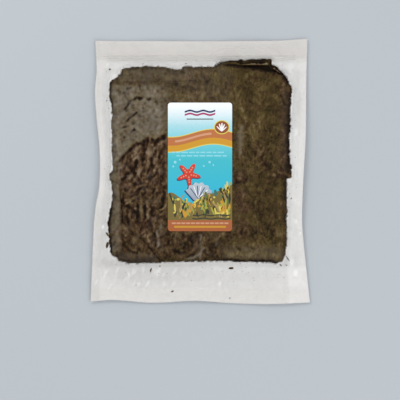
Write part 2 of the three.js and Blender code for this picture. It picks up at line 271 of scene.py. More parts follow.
# Single creases that stand out on the sheets: start, bend and end of each as x and y, then half width
# and depth
CREASES = [
    (-79, 64.5, -74, 75, -63.5, 77, 1.5, 1.15), (-64.5, 77.5, -63, 77, -61.5, 75.5, 1.9, 1.6),
    (-66.5, 61.5, -72, 57.5, -76.5, 52.5, 1.5, 1.2), (-55.5, 75, -54, 75, -52, 76, 1.7, 1.0),
    (-47.5, 72.5, -46.5, 73, -45, 73.5, 1.4, 0.8), (-80.5, 45.5, -78.5, 46, -77, 47, 1.4, 1.0),
    (-71, 48.5, -70, 49.5, -69.5, 50, 1.4, 1.0), (-69, 42.5, -68.5, 43, -68, 44, 1.3, 0.9),
    (-80.5, 34.5, -80, 35, -79.5, 36, 1.4, 1.0), (-73, 40.5, -72.5, 41, -71.5, 41.5, 1.3, 0.9),
    (-76.5, 87, -74.5, 86.5, -73, 87.5, 1.6, 0.6), (-64.5, 90, -62.5, 86.5, -61, 84, 1.0, 0.6),
    (-88, 84, -86, 82, -84, 85, 1.6, 0.5), (-60, 61, -57.5, 62, -55, 63.5, 1.2, 0.5),
    (-84, 12.5, -77, 18.5, -69, 27, 3.0, 1.3), (-64, 28.5, -60, 30.5, -57, 33, 2.6, 1.2),
    (-47, 29.5, -44, 34.5, -36, 37, 2.4, 1.5), (-59, 26, -58.5, 18.5, -61, 8, 1.8, 1.1),
    (-35.5, 25.5, -40.5, 22, -43, 14.5, 1.9, 1.5), (-66.5, 10.5, -68.5, 1.5, -80, -7.5, 2.2, 1.8),
    (-69.5, 1.5, -69.5, -4, -70, -7.5, 1.3, 1.6), (-58, 7, -60, -1.5, -61.5, -6.5, 1.2, 1.0),
    (-82.5, -28, -81, -31, -80, -34.5, 1.4, 1.4), (-76, -35.5, -72, -39, -67.5, -44.5, 2.0, 1.7),
    (-77, -46, -76.5, -51, -75, -56.5, 1.1, 1.3), (-65.5, -35.5, -64.5, -42, -66, -49.5, 1.1, 1.3),
    (-58, -35.5, -57.5, -42, -57.5, -49.5, 1.0, 1.2), (-51.5, -34, -51, -42, -49.5, -48.5, 1.0, 1.1),
    (-36.5, -22, -38, -28.5, -41, -38, 1.7, 1.6), (-47.5, -65, -45.8, -72, -46.8, -78, 1.2, 1.2),
    (-55, -77, -49, -84, -40.5, -94, 1.2, 1.0), (-81.5, -66, -82, -82, -66.4, -85.6, 1.5, 1.6),
    (-25, -84, -16, -86, -7, -87, 2.6, 1.3), (85, 80, 87, 74, 89, 69, 1.2, 0.9),
    (38, -79.5, 40, -81, 42, -82.5, 1.2, 0.9), (52, -79, 54, -80.5, 56.5, -81.5, 1.2, 0.8),
    (36, -12, 40, -10, 44, -12, 1.4, 1.0), (36, 0, 37, -16, 36, -34, 1.0, 0.4),
    (-74, -71, -73, -75, -71.5, -79, 1.1, 1.3), (-66.5, -76, -65.5, -80, -61.5, -84, 1.1, 1.3),
]

# Single folds that stand out, in the same form
FOLDS = [
    (-53, 36, -52.5, 22, -55, 7, 1.6, 1.0), (-55, 7, -59, -5, -55, -22, 1.6, 0.8),
    (-43.5, 28.5, -40.5, 30.5, -35, 33, 2.2, 1.1), (-44.5, 26, -45.5, 16, -45.5, 3, 1.2, 1.1),
    (-72, 15, -68.5, 19.5, -65, 24, 1.7, 1.1), (-85, 3, -80, 9, -75, 1.5, 1.3, 1.0),
    (-72, -19.5, -65.5, -15, -57.5, -14.5, 1.2, 1.0), (-68, -23.5, -64, -21, -59, -20, 1.0, 0.8),
    (-47, -17.5, -42, -15.5, -36, -11.5, 1.2, 1.2), (-62.5, -36.5, -62, -43, -61, -51, 0.9, 1.1),
    (-55, -36.5, -54, -43, -54.5, -49.5, 0.9, 1.2), (-63, -31.5, -59.5, -29, -56, -32, 2.0, 0.8),
    (-80.5, -36, -76, -32, -70, -28, 0.9, 1.1), (-40.5, -40, -37, -36.5, -33.5, -33.5, 1.0, 1.2),
    (-82.5, -42, -83, -51, -77, -61, 1.0, 1.1), (-72, -69, -63, -75, -57, -88, 2.6, 0.7),
    (-80, -70, -78.5, -72, -78, -75, 1.2, 0.7), (-75.5, -80, -69, -83, -63.5, -85, 1.0, 0.9),
    (-89, 22, -85, 24.5, -81, 26, 1.2, 0.7),
]

# Stretches of the brown that are lighter (above zero) or darker without relief, in the same form
TINTS = [
    (35.5, 87, 41, 75, 47.5, 52, 2.0, 0.22), (44, 46.5, 42.5, 33, 43, 18, 2.2, 0.17),
    (32, -86, 55, -88, 82, -88.5, 4, 0.12), (-60, -26, -60, -45, -58, -66, 15, -0.09),
    (-36, -80, 0, -80, 34, -80, 9, -0.11), (-44, -60, -44, -70, -43, -79, 1.3, 0.16),
    (0, -70, 2, -78, 0, -90, 1.3, 0.16), (-89, -22, -89, -45, -88, -80, 4.5, -0.07),
    (-52, 79, -41, 80, -28, 79, 5, 0.14), (-28, 79, 14, 79, 60, 79, 5, 0.08),
    (-49, 35, -48, 24, -48, 12, 5, 0.12), (77, -14, 78, -21, 77, -28, 5, -0.15),
    (50, 41, 60, 38, 72, 36, 6, 0.08), (-26, 88, -24, 84, -25, 79, 1.8, 0.16),
    (-8, 84, -9, 79, -8, 75, 2.4, 0.13), (4, 88, 5, 84, 3, 78, 2.2, 0.14),
    (14, 84, 16, 81, 20, 79, 2.4, 0.1), (89, 84, 90.5, 42, 89.5, -2, 3.6, -0.18),
    (39, -8, 41, -9, 42, -7, 1.3, 0.16), (-84, -87, -70, -92, -50, -92, 5, -0.3),
    (-74, 101, -40, 101, 6, 100, 5, -0.09), (60, 100, 72, 97, 84, 92, 4, -0.05),
    (38, 60, 40, 50, 38, 40, 2, 0.06), (70, 70, 62, 60, 66, 44, 4, 0.05), (64, 5, 72, 9, 78, 17, 6, -0.08),
    (47, 34, 57, 15, 83, -4, 1.0, -0.15), (55, -34, 68, -48, 75, -70, 2.4, -0.12),
    (70, -62, 74, -66, 76, -72, 2.0, -0.1), (-30, 92, -10, 92.5, 8, 93.5, 0.8, -0.05),
    (56, 66, 50, 46, 54, 30, 3, -0.04), (60, -20, 66, -10, 62, 0, 4, 0.05),
]

# Pale streaks of the painted sheen: upright ones below and beside the label, and small ones on the smooth
# flap
SHEEN_STREAKS = [
    (-40.5, -55, -41, -58, -42.5, -61, 0.9, 0.26), (-44.5, -62, -46, -65, -45, -69, 0.9, 0.27),
    (-43, -71, -43, -75, -44.5, -79, 0.8, 0.28), (0.8, -67, 0, -72, -0.5, -78, 0.8, 0.3),
    (17, -66, 16, -71, 16.5, -77, 0.8, 0.14), (-1.5, -86, -5, -90.5, -13, -91.5, 1.0, 0.3),
    (3.8, -79.5, -2, -86, 0.8, -92, 0.9, 0.3), (42.5, 46, 41, 33, 41.5, 18, 1.6, 0.2),
    (88, 84, 90, 42, 88.5, 0, 3.4, 0.03), (-56, 88, -52, 84, -46, 80, 2.6, 0.1),
    (-60, 66, -55, 62, -50, 58, 3.0, 0.1), (-44, 64, -42, 57, -43, 46, 2.8, 0.2),
    (-88, 30, -86, 22, -84, 18, 2.0, 0.12), (-60, 50, -56, 42, -54, 38, 1.8, 0.12),
    (-78, 88, -74, 84, -72, 80, 2.4, 0.08),
]


def strokes(x, y, lines):
    """Sum of the given strokes, each soft across and thinner towards its ends."""
    total = np.zeros(np.shape(x))
    wander_x, wander_y = x + 1.6 * noise(x, y, 6, 61), y + 1.6 * noise(x, y, 6, 62)
    uneven = 1 + 0.7 * noise(x, y, 3.4, 63)
    steps = 6
    t = np.linspace(0, 1, steps + 1)
    for x0, y0, x1, y1, x2, y2, half_width, height in lines:
        px = (1 - t) ** 2 * x0 + 2 * t * (1 - t) * x1 + t**2 * x2
        py = (1 - t) ** 2 * y0 + 2 * t * (1 - t) * y1 + t**2 * y2
        # Past this reach a stroke leaves no trace
        reach = 12 * half_width
        near = (wander_x > px.min() - reach) & (wander_x < px.max() + reach)
        near &= (wander_y > py.min() - reach) & (wander_y < py.max() + reach)
        wx, wy = wander_x[near], wander_y[near]
        far = np.full(wx.shape, np.inf)
        for k in range(steps):
            dx, dy = px[k + 1] - px[k], py[k + 1] - py[k]
            along = np.clip(((wx - px[k]) * dx + (wy - py[k]) * dy) / (dx**2 + dy**2), 0, 1)
            taper = 0.35 + 0.65 * np.sin(math.pi * (0.15 + 0.75 * (k + along) / steps))
            far = np.minimum(far, np.hypot(wx - px[k] - along * dx, wy - py[k] - along * dy) / taper)
        far = far * uneven[near] / half_width
        total[near] += height * (0.6 * bell(far) + 0.4 * bell(far / 2.2))
    return total


def sharp_folds(x, y, degrees):
    """Crossed sharp folds of several sizes, drawn out along a direction."""
    p, q = turned(x, y, degrees)
    q = q * 0.6
    return (
        2.4 * abs(noise(p, q, 13, 11)) - 1.9 * abs(noise(p, q, 8, 12))
        + 1.6 * abs(noise(p, q, 4.8, 13)) - 0.5 * abs(noise(p, q, 3.2, 14)) - 0.7
    )


def crumple(x, y):
    """Relief of the top sheet: folds, upright but slanting in the middle of the left, and strokes."""
    wx = x + 5 * noise(x, y, 26, 1) + 2 * noise(x, y, 9, 2)
    wy = y + 5 * noise(x, y, 26, 3) + 2 * noise(x, y, 9, 4)
    slanting = ease(-12, -20, wy) * ease(-52, -42, wy)
    folds = (1 - slanting) * sharp_folds(wx, wy, -16) + slanting * sharp_folds(1.25 * wx, 1.25 * wy, -54)
    fine = 0.3 * noise(x, y, 3.8, 21) + 0.15 * noise(x, y, 2.2, 22)
    share = crumpled_share(x, y)
    flap = inside_flap(x, y)
    below_flap = ease(0.6, -0.8, flap) * ease(-22, -4, flap) * ease(-30, -36, x)
    clear = ease(0, 5, beyond_label(x, y))
    lines = strokes(x, y, FOLDS) - strokes(x, y, CREASES)
    relief = folds * (0.06 + share) + lines - 0.6 * below_flap
    p, q = turned(x, y, 24)
    pits = np.clip(noise(0.7 * p, q, 3.0, 23) - 0.22, 0, 1) * ease(-1, 4, flap)
    return np.minimum(relief * clear, 0.45) + (fine * (0.4 + share) - 1.3 * pits) * (0.4 + 0.6 * clear)


def flat_top(x, y):
    """Top of the stack without its crumples."""
    upper = inside_upper(x, y)
    return STACK_THICKNESS - STACK_EDGE_DROP * (1 - ease(0, STACK_EDGE_ROUNDING, upper))


def faint_edge(x, y):
    """How little the top sheet's edge shows: at the top, at the far left and part of the lower left."""
    lower_left = 0.75 * ease(-52, -60, y) * ease(-84, -76, y)
    return np.maximum.reduce([0.9 * ease(60, 80, y), 0.85 * ease(-82, -86, x), lower_left])


def top_sheet_height(x, y):
    upper = inside_upper(x, y)
    edge = inside_top(x, y)
    quiet = ease(-2, 5, edge) * ease(-1, 5, upper)
    rise = flat_top(x, y) + crumple(x, y) * quiet - 0.25 * (1 - faint_edge(x, y)) * (1 - ease(0, 3, edge))
    return np.minimum(rise, STACK_THICKNESS + HIGHEST_FOLD)


def second_sheet_height(x, y):
    step = TOP_SHEET_STEP * (1 - 0.6 * faint_edge(x, y))
    low = flat_top(x, y) - step + 0.25 * noise(x, y, 14, 31) + 0.1 * noise(x, y, 4, 32)
    low = low + 0.5 * (strokes(x, y, FOLDS) * ease(-56, -62, y) - strokes(x, y, CREASES))
    return np.where(inside_top(x, y) > -0.5, np.minimum(low, top_sheet_height(x, y) - 0.5), low)


def fan_sheet_height(x, y):
    """The lower layers at the top right: raised at their border, sunk beside the upper ones."""
    wedge = ease(30, 60, x) * ease(5.0, 7.5, FAN_TOP - y) * (1 - corner_strip(x, y))
    return LOWER_LAYERS_TOP + 1.6 - 2.2 * wedge + 0.25 * noise(x, y, 6, 33)


def corner_strip(x, y):
    """One for the strip of the lower layers that shows at the corner, and zero beside it."""
    p, q = turned(x - CORNER_STRIP[0], y - CORNER_STRIP[1], CORNER_STRIP_TURN)
    return ease(7.5, 5.5, abs(p)) * ease(1.5, 0.7, abs(q))


def srgb(r, g, b):
    """The linear colour for one given as it shows on screen, 0 to 255."""
    values = [c / 255 for c in (r, g, b)]
    return [*(c / 12.92 if c <= 0.04045 else ((c + 0.055) / 1.055) ** 2.4 for c in values), 1.0]


class Shader:
    """A material and its nodes, whose inputs are plain values or the outputs of other nodes."""

    def __init__(self, name, roughness):
        self.material = bpy.data.materials.new(name)
        self.material.use_nodes = True
        self.tree = self.material.node_tree
        self.surface = self.tree.nodes["Principled BSDF"]
        self.surface.inputs["Roughness"].default_value = roughness

    def set(self, node, inputs):
        for key, value in inputs.items():
            if isinstance(value, bpy.types.NodeSocket):
                self.tree.links.new(value, node.inputs[key])
            else:
                node.inputs[key].default_value = value

    def finish(self, inputs):
        """Sets the surface's own inputs and gives back the material."""
        self.set(self.surface, inputs)
        return self.material

    def node(self, kind, inputs, output=0, **settings):
        """Adds a node and gives back one of its outputs."""
        node = self.tree.nodes.new("ShaderNode" + kind)
        for key, value in settings.items():
            setattr(node, key, value)
        self.set(node, inputs)
        return node.outputs[output]

    def attribute(self, name):
        return self.node("Attribute", {}, "Fac", attribute_name=name)

    def place(self):
        """Places in the object's own metres."""
        return self.node("TexCoord", {}, "Object")

    def noise(self, scale, detail=2.0, roughness=0.5, distortion=0.0, place=None):
        return self.node("TexNoise", {
            "Vector": place or self.place(), "Scale": scale, "Detail": detail, "Roughness": roughness,
            "Distortion": distortion,
        })

    def math(self, operation, a, b, c=0.0, clamp=False):
        return self.node("Math", {0: a, 1: b, 2: c}, operation=operation, use_clamp=clamp)

    def total(self, start, *terms, clamp=False):
        """A start plus outputs times their factors, and where it is clamped, from zero to one."""
        for number, (output, factor) in enumerate(terms, 1):
            start = self.math("MULTIPLY_ADD", output, factor, start, clamp and number == len(terms))
        return start

    def mix(self, factor, a, b):
        """A colour between two others, which are the inputs 6 and 7 of a Mix node."""
        return self.node("Mix", {0: factor, 6: a, 7: b}, 2, data_type="RGBA")

    def ramp(self, factor, stops):
        """A colour ramp through stops of a place and a linear colour."""
        node = self.tree.nodes.new("ShaderNodeValToRGB")
        self.set(node, {"Fac": factor})
        while len(node.color_ramp.elements) < len(stops):
            node.color_ramp.elements.new(0.5)
        for element, (place, colour) in zip(node.color_ramp.elements, stops):
            element.position, element.color = place, colour
        return node.outputs["Color"]


def on_screen(*stops):
    """Stops for a ramp from places and colours as they show on screen."""
    return [(place, srgb(*colour)) for place, *colour in stops]


def seaweed_material():
    """Dry pressed fibres: olive brown and mottled where flat, redder in the folds, with painted shade in the
    sunken places, painted light on the folds' crests and a painted grey sheen for the film.
    """
    shader = Shader("seaweed", 0.6)
    mottle = shader.noise(260, 3, 0.65, 0.7)
    drawn_out = {0: shader.place(), "Scale": (1, 0.5, 1), "Rotation": (0, 0, math.radians(-12))}
    fibres = shader.noise(190, 3, 0.6, 1.4, shader.node("Mapping", drawn_out))
    patches = shader.noise(85, 3, 0.6)
    # The grain swings round a middle value, less where a sheet is plain
    swing = shader.total(-1.4, (mottle, 0.9), (fibres, 1.0), (patches, 0.9))
    varied = shader.total(1.0, (shader.attribute("plain"), -1.0))
    # Painted shade darkens the sunken places and painted light lifts the folds' crests
    value = shader.total(
        shader.math("MULTIPLY_ADD", swing, varied, 0.47), (shader.attribute("painted_shade"), -0.5),
        (shader.attribute("painted_ridge_light"), 0.32), (shader.attribute("tone"), 1.0), clamp=True,
    )
    rust = shader.math("GREATER_THAN", shader.noise(140, 4, 0.7), 0.6)
    warm = shader.total(shader.attribute("warm"), (rust, 0.35), clamp=True)
    olive, red = (shader.ramp(value, on_screen(*stops)) for stops in (
        ((0.0, 24, 17, 7), (0.25, 43, 33, 15), (0.5, 70, 57, 29), (0.7, 90, 76, 42), (1.0, 124, 110, 75)),
        ((0.0, 23, 12, 6), (0.25, 44, 28, 17), (0.5, 74, 53, 34), (0.7, 98, 78, 57), (1.0, 134, 115, 95)),
    ))
    # A painted sheen: the film's grey reflection over the sheets, mixed into the brown
    colour = shader.mix(shader.attribute("painted_sheen"), shader.mix(warm, olive, red), srgb(168, 160, 146))
    bump = shader.node("Bump", {"Height": mottle, "Strength": 0.5, "Distance": 0.0004})
    return shader.finish({"Base Color": colour, "Specular IOR Level": 0.08, "Normal": bump})


def film_material():
    """Clear plastic: hardly seen where it lies on the sheets, cloudy where it stands off them."""
    shader = Shader("film", 0.28)
    colour = shader.mix(shader.attribute("sealed"), srgb(242, 240, 237), srgb(234, 230, 225))
    colour = shader.mix(shader.attribute("shaded"), colour, srgb(196, 193, 189))
    factor = shader.total(0.8, (shader.noise(90, 4, 0.65, 0.8), 0.4))
    cloud = shader.math("MULTIPLY", shader.attribute("cloud"), factor, clamp=True)
    return shader.finish({"Base Color": colour, "IOR": 1.5, "Alpha": cloud})


def zip_material():
    shader = Shader("zip_plastic", 0.4)
    colour = shader.ramp(shader.noise(40), on_screen((0.3, 226, 225, 223), (0.7, 234, 233, 231)))
    return shader.finish({"Base Color": colour, "Alpha": 0.17})


def print_material(name, stops):
    """Printed ink on paper: a smooth run of colours up the label, with a little grain."""
    shader = Shader(name, 0.42)
    up = shader.node("SeparateXYZ", {0: shader.place()}, "Y")
    start = 0.5 - LABEL_CENTRE[1] / LABEL_HEIGHT - PRINT_GRAIN / 2
    place = shader.total(start, (up, 1 / MM / LABEL_HEIGHT), (shader.noise(900), PRINT_GRAIN))
    return shader.finish({"Base Color": shader.ramp(place, stops)})


def add_object(name, data):
    item = bpy.data.objects.new(name, data)
    bpy.context.collection.objects.link(item)
    return item


def make_object(name, points, faces, materials, face_material=None, attributes=None, smooth=True):
    """A mesh piece from points in millimetres that rides on the pack."""
    mesh = bpy.data.meshes.new(name)
    mesh.from_pydata((np.asarray(points, float) * MM).tolist(), [], faces)
    for material in materials:
        mesh.materials.append(material)
    if face_material is not None:
        mesh.polygons.foreach_set("material_index", face_material)
    mesh.polygons.foreach_set("use_smooth", [smooth] * len(faces))
    for key, values in (attributes or {}).items():
        layer = mesh.attributes.new(key, "FLOAT", "POINT")
        layer.data.foreach_set("value", np.broadcast_to(values, len(points)).astype(np.float32))
    mesh.validate()
    mesh.update()
    piece = add_object(name, mesh)
    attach(piece, "root")
    return piece


def closed_faces(cells, count):
    """Faces of a closed body: cells, the same cells underneath and a rim round every border."""
    edges = {edge for cell in cells for edge in zip(cell, cell[1:] + cell[:1])}
    rim = sorted((b, a, a + count, b + count) for a, b in edges if (b, a) not in edges)
    return cells + [tuple(n + count for n in cell[::-1]) for cell in cells] + rim


def closed_sheet(name, top, bottom, cells, materials, face_material=None, **looks):
    """A piece between two layers of points; face_material is for the cells of its top."""
    faces = closed_faces([tuple(cell) for cell in cells.tolist()], len(top))
    if face_material is not None:
        face_material = np.concatenate([face_material, np.zeros(len(faces) - len(cells), int)])
    return make_object(name, np.concatenate([top, bottom]), faces, materials, face_material, **looks)


def grid_cells(number):
    """The four corners of every cell in a grid of point numbers."""
    corners = [number[:-1, :-1], number[1:, :-1], number[1:, 1:], number[:-1, 1:]]
    return np.stack(corners, axis=-1).reshape(-1, 4)


def loft(base, sides, rings):
    """Faces of a closed body through rings of points; base is the number of its first point."""
    last = base + (rings - 1) * sides
    faces = [tuple(base + n for n in reversed(range(sides))), tuple(last + n for n in range(sides))]
    for start in range(base, last, sides):
        for n in range(sides):
            m = (n + 1) % sides
            faces.append((start + n, start + m, start + sides + m, start + sides + n))
    return faces


def neighbours(field):
    """Sum of the four neighbours of every inner place of a grid."""
    return field[:-2, 1:-1] + field[2:, 1:-1] + field[1:-1, :-2] + field[1:-1, 2:]


def blurred(field, passes):
    """A field on a grid, averaged with its neighbours a number of times."""
    for _ in range(passes):
        field = (neighbours(np.pad(field, 1, mode="edge")) + 2 * field) / 6
    return field


def ragged(x, y):
    """How far the torn edges of all the sheets wander in and out together."""
    return 0.8 * noise(x, y, 9, 41) + 1.0 * noise(x, y, 4, 42) + 1.0 * noise(x, y, 2.4, 45)


def dark_rim(x, y):
    """Where the edge of the stack shows dark with painted shade, and its sheets stick out further: at the
    right above, low at the left and along the foot.
    """
    right = 0.6 * ease(82, 90, x) * ease(-14, -2, y) * (1 + 1.2 * noise(x, y, 11, 58))
    left = ease(-90, -94, x) * np.maximum(ease(-24, -34, y), 0.6 * ease(62, 68, y))
    foot = ease(16, 28, x) * ease(86, 76, x) * ease(-86, -91, y)
    fan = ease(20, 32, x) * ease(100, 108, y)
    return np.clip((right + left + foot + fan) * (1 + 0.8 * noise(x, y, 7, 57)), 0, 1)


def masked_sheet(name, bounds, step, depth_at, height_at, shade_at, tone, grey=1.0):
    """A thin closed sheet over every grid cell whose middle is inside an outline."""
    x_from, x_to, y_from, y_to = bounds
    x, y = np.meshgrid(np.arange(x_from, x_to, step), np.arange(y_from, y_to, step), indexing="ij")
    keep = depth_at((x[:-1, :-1] + x[1:, 1:]) / 2, (y[:-1, :-1] + y[1:, 1:]) / 2) > 0
    keep[[0, -1]] = keep[:, [0, -1]] = False
    # Cells that meet only at a corner go
    for _ in range(4):
        a, b, c, d = keep[:-1, :-1], keep[1:, :-1], keep[:-1, 1:], keep[1:, 1:]
        for i, j in zip(*np.nonzero((a == d) & (b == c) & (a != b))):
            keep[i:i + 2, j:j + 2] = False
    padded = np.pad(keep.astype(int), 1)
    around = padded[:-1, :-1] + padded[1:, :-1] + padded[:-1, 1:] + padded[1:, 1:]
    used = around > 0
    # Points on the border move on to the outline
    depth = depth_at(x, y)
    near = 0.3
    slope_x = (depth_at(x + near, y) - depth_at(x - near, y)) / (2 * near)
    slope_y = (depth_at(x, y + near) - depth_at(x, y - near)) / (2 * near)
    steep = np.maximum(slope_x**2 + slope_y**2, 0.5)
    shift = np.where(used & (around < 4), np.clip(depth / steep, -0.55 * step, 0.55 * step), 0)
    x, y = x - slope_x * shift, y - slope_y * shift
    z = height_at(x, y)
    soft = blurred(z, 2)
    sunk = 0.9 * (blurred(soft, 5) - soft) + 0.65 * (blurred(soft, 24) - soft)
    # Painted shade in the sunken places, from how far each place lies below its surroundings, plus the
    # painted shade along the edges
    painted_shade = np.clip(sunk / 0.8, 0, 1.15) + shade_at(x, y, depth)
    # A painted grey sheen for the film over the sheet, in the share that grey gives, kept out of the shaded
    # places
    painted_sheen = grey * painted_sheen_amount(x, y) * np.clip(1 - 1.6 * painted_shade, 0, 1)
    beside = ease(30, 42, x) * (ease(-64, -50, y) - ease(-14, 0, y) * ease(52, 38, y))
    # Painted light goes on the folds' crests; tone, warm and plain are the sheet's own colour
    looks = {
        "painted_shade": painted_shade, "painted_ridge_light": np.clip(-sunk / 0.6, 0, 1), "warm": reddish(x, y), "painted_sheen": painted_sheen,
        "tone": tone + strokes(x, y, TINTS) + 0.1 * noise(x, y, 24, 53) + 0.07 * noise(x, y, 5, 54),
        "plain": np.clip(4.5 * painted_sheen + 0.24 * beside + ease(109, 112, y), 0, 0.55),
    }
    number = np.full(x.shape, -1)
    number[used] = np.arange(used.sum())
    top = np.c_[x[used], y[used], z[used]]
    return closed_sheet(
        name, top, top - [0, 0, SHEET_THICKNESS], grid_cells(number)[keep.ravel()], [seaweed],
        attributes={key: np.tile(values[used], 2) for key, values in looks.items()},
    )


def even_points(outline, spacing):
    """Points along a closed outline at an even spacing."""
    corners = np.array(outline + outline[:1], float)
    lengths = np.hypot(*(corners[1:] - corners[:-1]).T)
    along = np.concatenate([[0], np.cumsum(lengths)])
    places = np.linspace(0, along[-1], int(along[-1] / spacing), endpoint=False)
    return np.stack([np.interp(places, along, corners[:, k]) for k in range(2)], axis=1), places


def sheet_stack(name, outline, numbers, seed):
    """Thin ragged sheets on top of each other, each a closed body with its own uneven edge."""
    ring, along = even_points(outline, EDGE_SPACING)
    count = len(ring)
    # The outlines run clockwise, so outward is to the left
    tangent = np.roll(ring, -2, axis=0) - np.roll(ring, 2, axis=0)
    outward = np.c_[-tangent[:, 1], tangent[:, 0]] / np.hypot(*tangent.T)[:, None]
    x, y = ring.T
    bumps = 0.8 * abs(np.sin(x * math.pi / SCALLOP)) * ease(30, 40, x) * ease(112, 115, y)
    shared = ragged(x, y) + 1.6 * dark_rim(x, y) + bumps
    # Rings of a sheet from the middle of its face round the edge to the middle of its back
    rings = [(1, 14.0), (1, 3.0), (1, 0.0), (-1, 0.0), (-1, 3.0), (-1, 14.0)]
    points, faces, tones = [], [], []
    for number in numbers:
        share = (number + 1) / (SHEET_COUNT + 1)
        row = np.full(count, number * 17.3)
        lap = 0.9 * noise(along, row, 40, seed) + 0.6 * noise(along, 0.3 * row, 14, seed + 1)
        nibble = 0.5 * noise(along, row, 4, seed + 2)
        edge = ring + outward * (shared + lap + nibble - 2.1)[:, None]
        inward = ring.mean(axis=0) - edge
        inward /= np.hypot(*inward.T)[:, None]
        faces += loft(len(points), count, len(rings))
        for side, inset in rings:
            x, y = (edge + inset * inward).T
            ceiling = second_sheet_height(x, y) - 0.45 - (2.0 if inset > 2 else 0.0)
            foot = underside(x, y) + 0.25
            level = foot + share * (ceiling - foot) + 0.04 * noise(x, y + 40 * number, 9, seed + 3)
            points += np.c_[x, y, level + side * SHEET_THICKNESS / 3].tolist()
        tones += [0.12 * (float(lattice(number, seed, 5)) - 0.6)] * (len(rings) * count)
    # The sheets' edges get an even painted shade and no painted light or sheen
    return make_object(name, points, faces, [seaweed], attributes={
        "painted_shade": 0.6, "painted_ridge_light": 0.0, "tone": np.array(tones), "warm": 0.35, "painted_sheen": 0.0,
    })


seaweed = seaweed_material()


def top_depth(x, y):
    return np.minimum(inside_upper(x, y) - 0.4, inside_top(x, y)) + ragged(x, y)


# How strong the painted shade along the stack's rim is
def rim_strength(x, y, seed):
    return 0.08 + 0.95 * dark_rim(x, y) * (1 + noise(x, y, 12, seed))


def top_shade(x, y, depth):
    """Painted shade along the outer edge and, less, along the edge that lies on the second sheet."""
    outer = inside_upper(x, y) < inside_top(x, y) + 2
    inner = 0.25 * (1 - 0.8 * faint_edge(x, y))
    return np.where(outer, rim_strength(x, y, 46), inner) * bell(np.maximum(depth, 0) / 2.1)


def second_depth(x, y):
    return np.minimum(inside_upper(x, y) - 0.2, 9 - inside_top(x, y)) + ragged(x, y)


def second_shade(x, y, depth):
    # A painted shadow where the top sheet's edge lies on this sheet, and painted shade along the outer edge
    contact_shadow = 0.8 * (1 - faint_edge(x, y)) * bell(np.minimum(top_depth(x, y), 0) / 1.3)
    return contact_shadow + rim_strength(x, y, 47) * bell(np.maximum(depth, 0) / 2.4)


def fan_depth(x, y):
    inset = 2.0 + 2.4 * ease(34, 44, x) * ease(78, 74, x)
    return np.minimum(inside_lower(x, y) - inset + ragged(x, y), 5 - inside_upper(x, y))


def fan_shade(x, y, depth):
    """Painted shade where the upper layers overhang, but for one paler layer that shows in the gap."""
    within = ease(5.8, 6.8, FAN_TOP - y + 1.4 * ease(44, 34, x))
    dark = 1.8 * ease(24, 40, x) * within + 1.3 * ease(73, 75, x)
    return dark * (1 - 0.97 * corner_strip(x, y))


def reddish(x, y):
    """How red the brown is: in the crumpled part, at the upper right edge and in single patches."""
    warm = 0.15 + 0.95 * crumpled_share(x, y) + 0.6 * ease(80, 88, x) * ease(-16, 0, y)
    for cx, cy, reach in (
        (65.5, 20, 5), (68, 8, 5), (81, -3, 5), (41, -8, 5), (43, -26, 6), (46, -38, 6), (40, -60, 9),
        (-59, -56, 8), (-12, 99, 5), (-4, 108, 4), (60, 113, 9), (81, 106, 6),
    ):
        warm = warm + 0.7 * np.exp(-(((x - cx) ** 2 + (y - cy) ** 2) / reach**2))
    return np.clip(warm + 0.5 * noise(x, y, 11, 48) + 0.7 * noise(x, y, 4, 55), 0, 1)


def painted_sheen_amount(x, y):
    """A painted grey sheen for the film over the sheets: most on the smooth flap and along the left edge,
    less above the label.
    """
    wander = 7 * noise(x, y, 15, 49)
    near_x, near_y = x + wander, y + 0.3 * wander
    flap = ease(-0.5, 3, inside_flap(x, y)) * ease(-22, -50, near_x) * ease(94, 86, near_y)
    strip = ease(-82, -86, x) * ease(93, 80, y) * ease(-90, -80, y) * (0.68 + 0.55 * ease(-15, 30, y))
    above = 0.22 * ease(44, 16, near_x) + 0.2 * ease(92, 96, y) * ease(10, -20, near_x)
    above = above * ease(68, 78, y)
    crumpled = 0.3 * crumpled_share(x, y) * ease(0, 0.3, noise(x, y, 9, 56))
    low = 0.34 * ease(-74, -84, y) * ease(16, 34, x) + 0.26 * ease(-83, -88, y) * ease(-40, -50, x)
    p, q = turned(x, y, 33)
    mottle = 1.04 + 0.8 * noise(p, q, 9, 50) + 1.1 * noise(p, q, 4, 51) + 0.7 * noise(p, q, 2.2, 52)
    most = np.maximum.reduce([flap, strip, above, low, crumpled])
    return 0.2 * most * mottle + strokes(x, y, SHEEN_STREAKS)


# Left, right, bottom and top of the sheets' grids, which have their own spacing
STACK_BOUNDS = (-102, 102, -102, 116)
FAN_BOUNDS = (8, 98, 92, 120)
top_sheet = masked_sheet("top_sheet", STACK_BOUNDS, 0.87, top_depth, top_sheet_height, top_shade, 0.0)
second_sheet = masked_sheet(
    "second_sheet", STACK_BOUNDS, 1.0, second_depth, second_sheet_height, second_shade, 0.03,
)
fan_sheet = masked_sheet("fan_sheet", FAN_BOUNDS, 0.8, fan_depth, fan_sheet_height, fan_shade, 0.12, grey=0)
split_at = int(SHEET_COUNT * LOWER_LAYERS_TOP / STACK_THICKNESS)
lower_sheets = sheet_stack("lower_sheets", LOWER_LAYERS, range(split_at), 50)
upper_sheets = sheet_stack("upper_sheets", UPPER_LAYERS, range(split_at, SHEET_COUNT), 60)


def film_lines(half, inner_from, inner_to, step, inner_step):
    """Grid lines over a side of the pouch, with their own spacing between two places."""
    below = np.arange(-half, inner_from, step)
    inner = np.arange(inner_from, inner_to, inner_step)
    above = np.linspace(inner_to, half, int((half - inner_to) / step) + 1)
    return np.concatenate([below, inner, above])


# How many times the webs are pulled tighter
BACK_PASSES = 500
FRONT_PASSES = 900


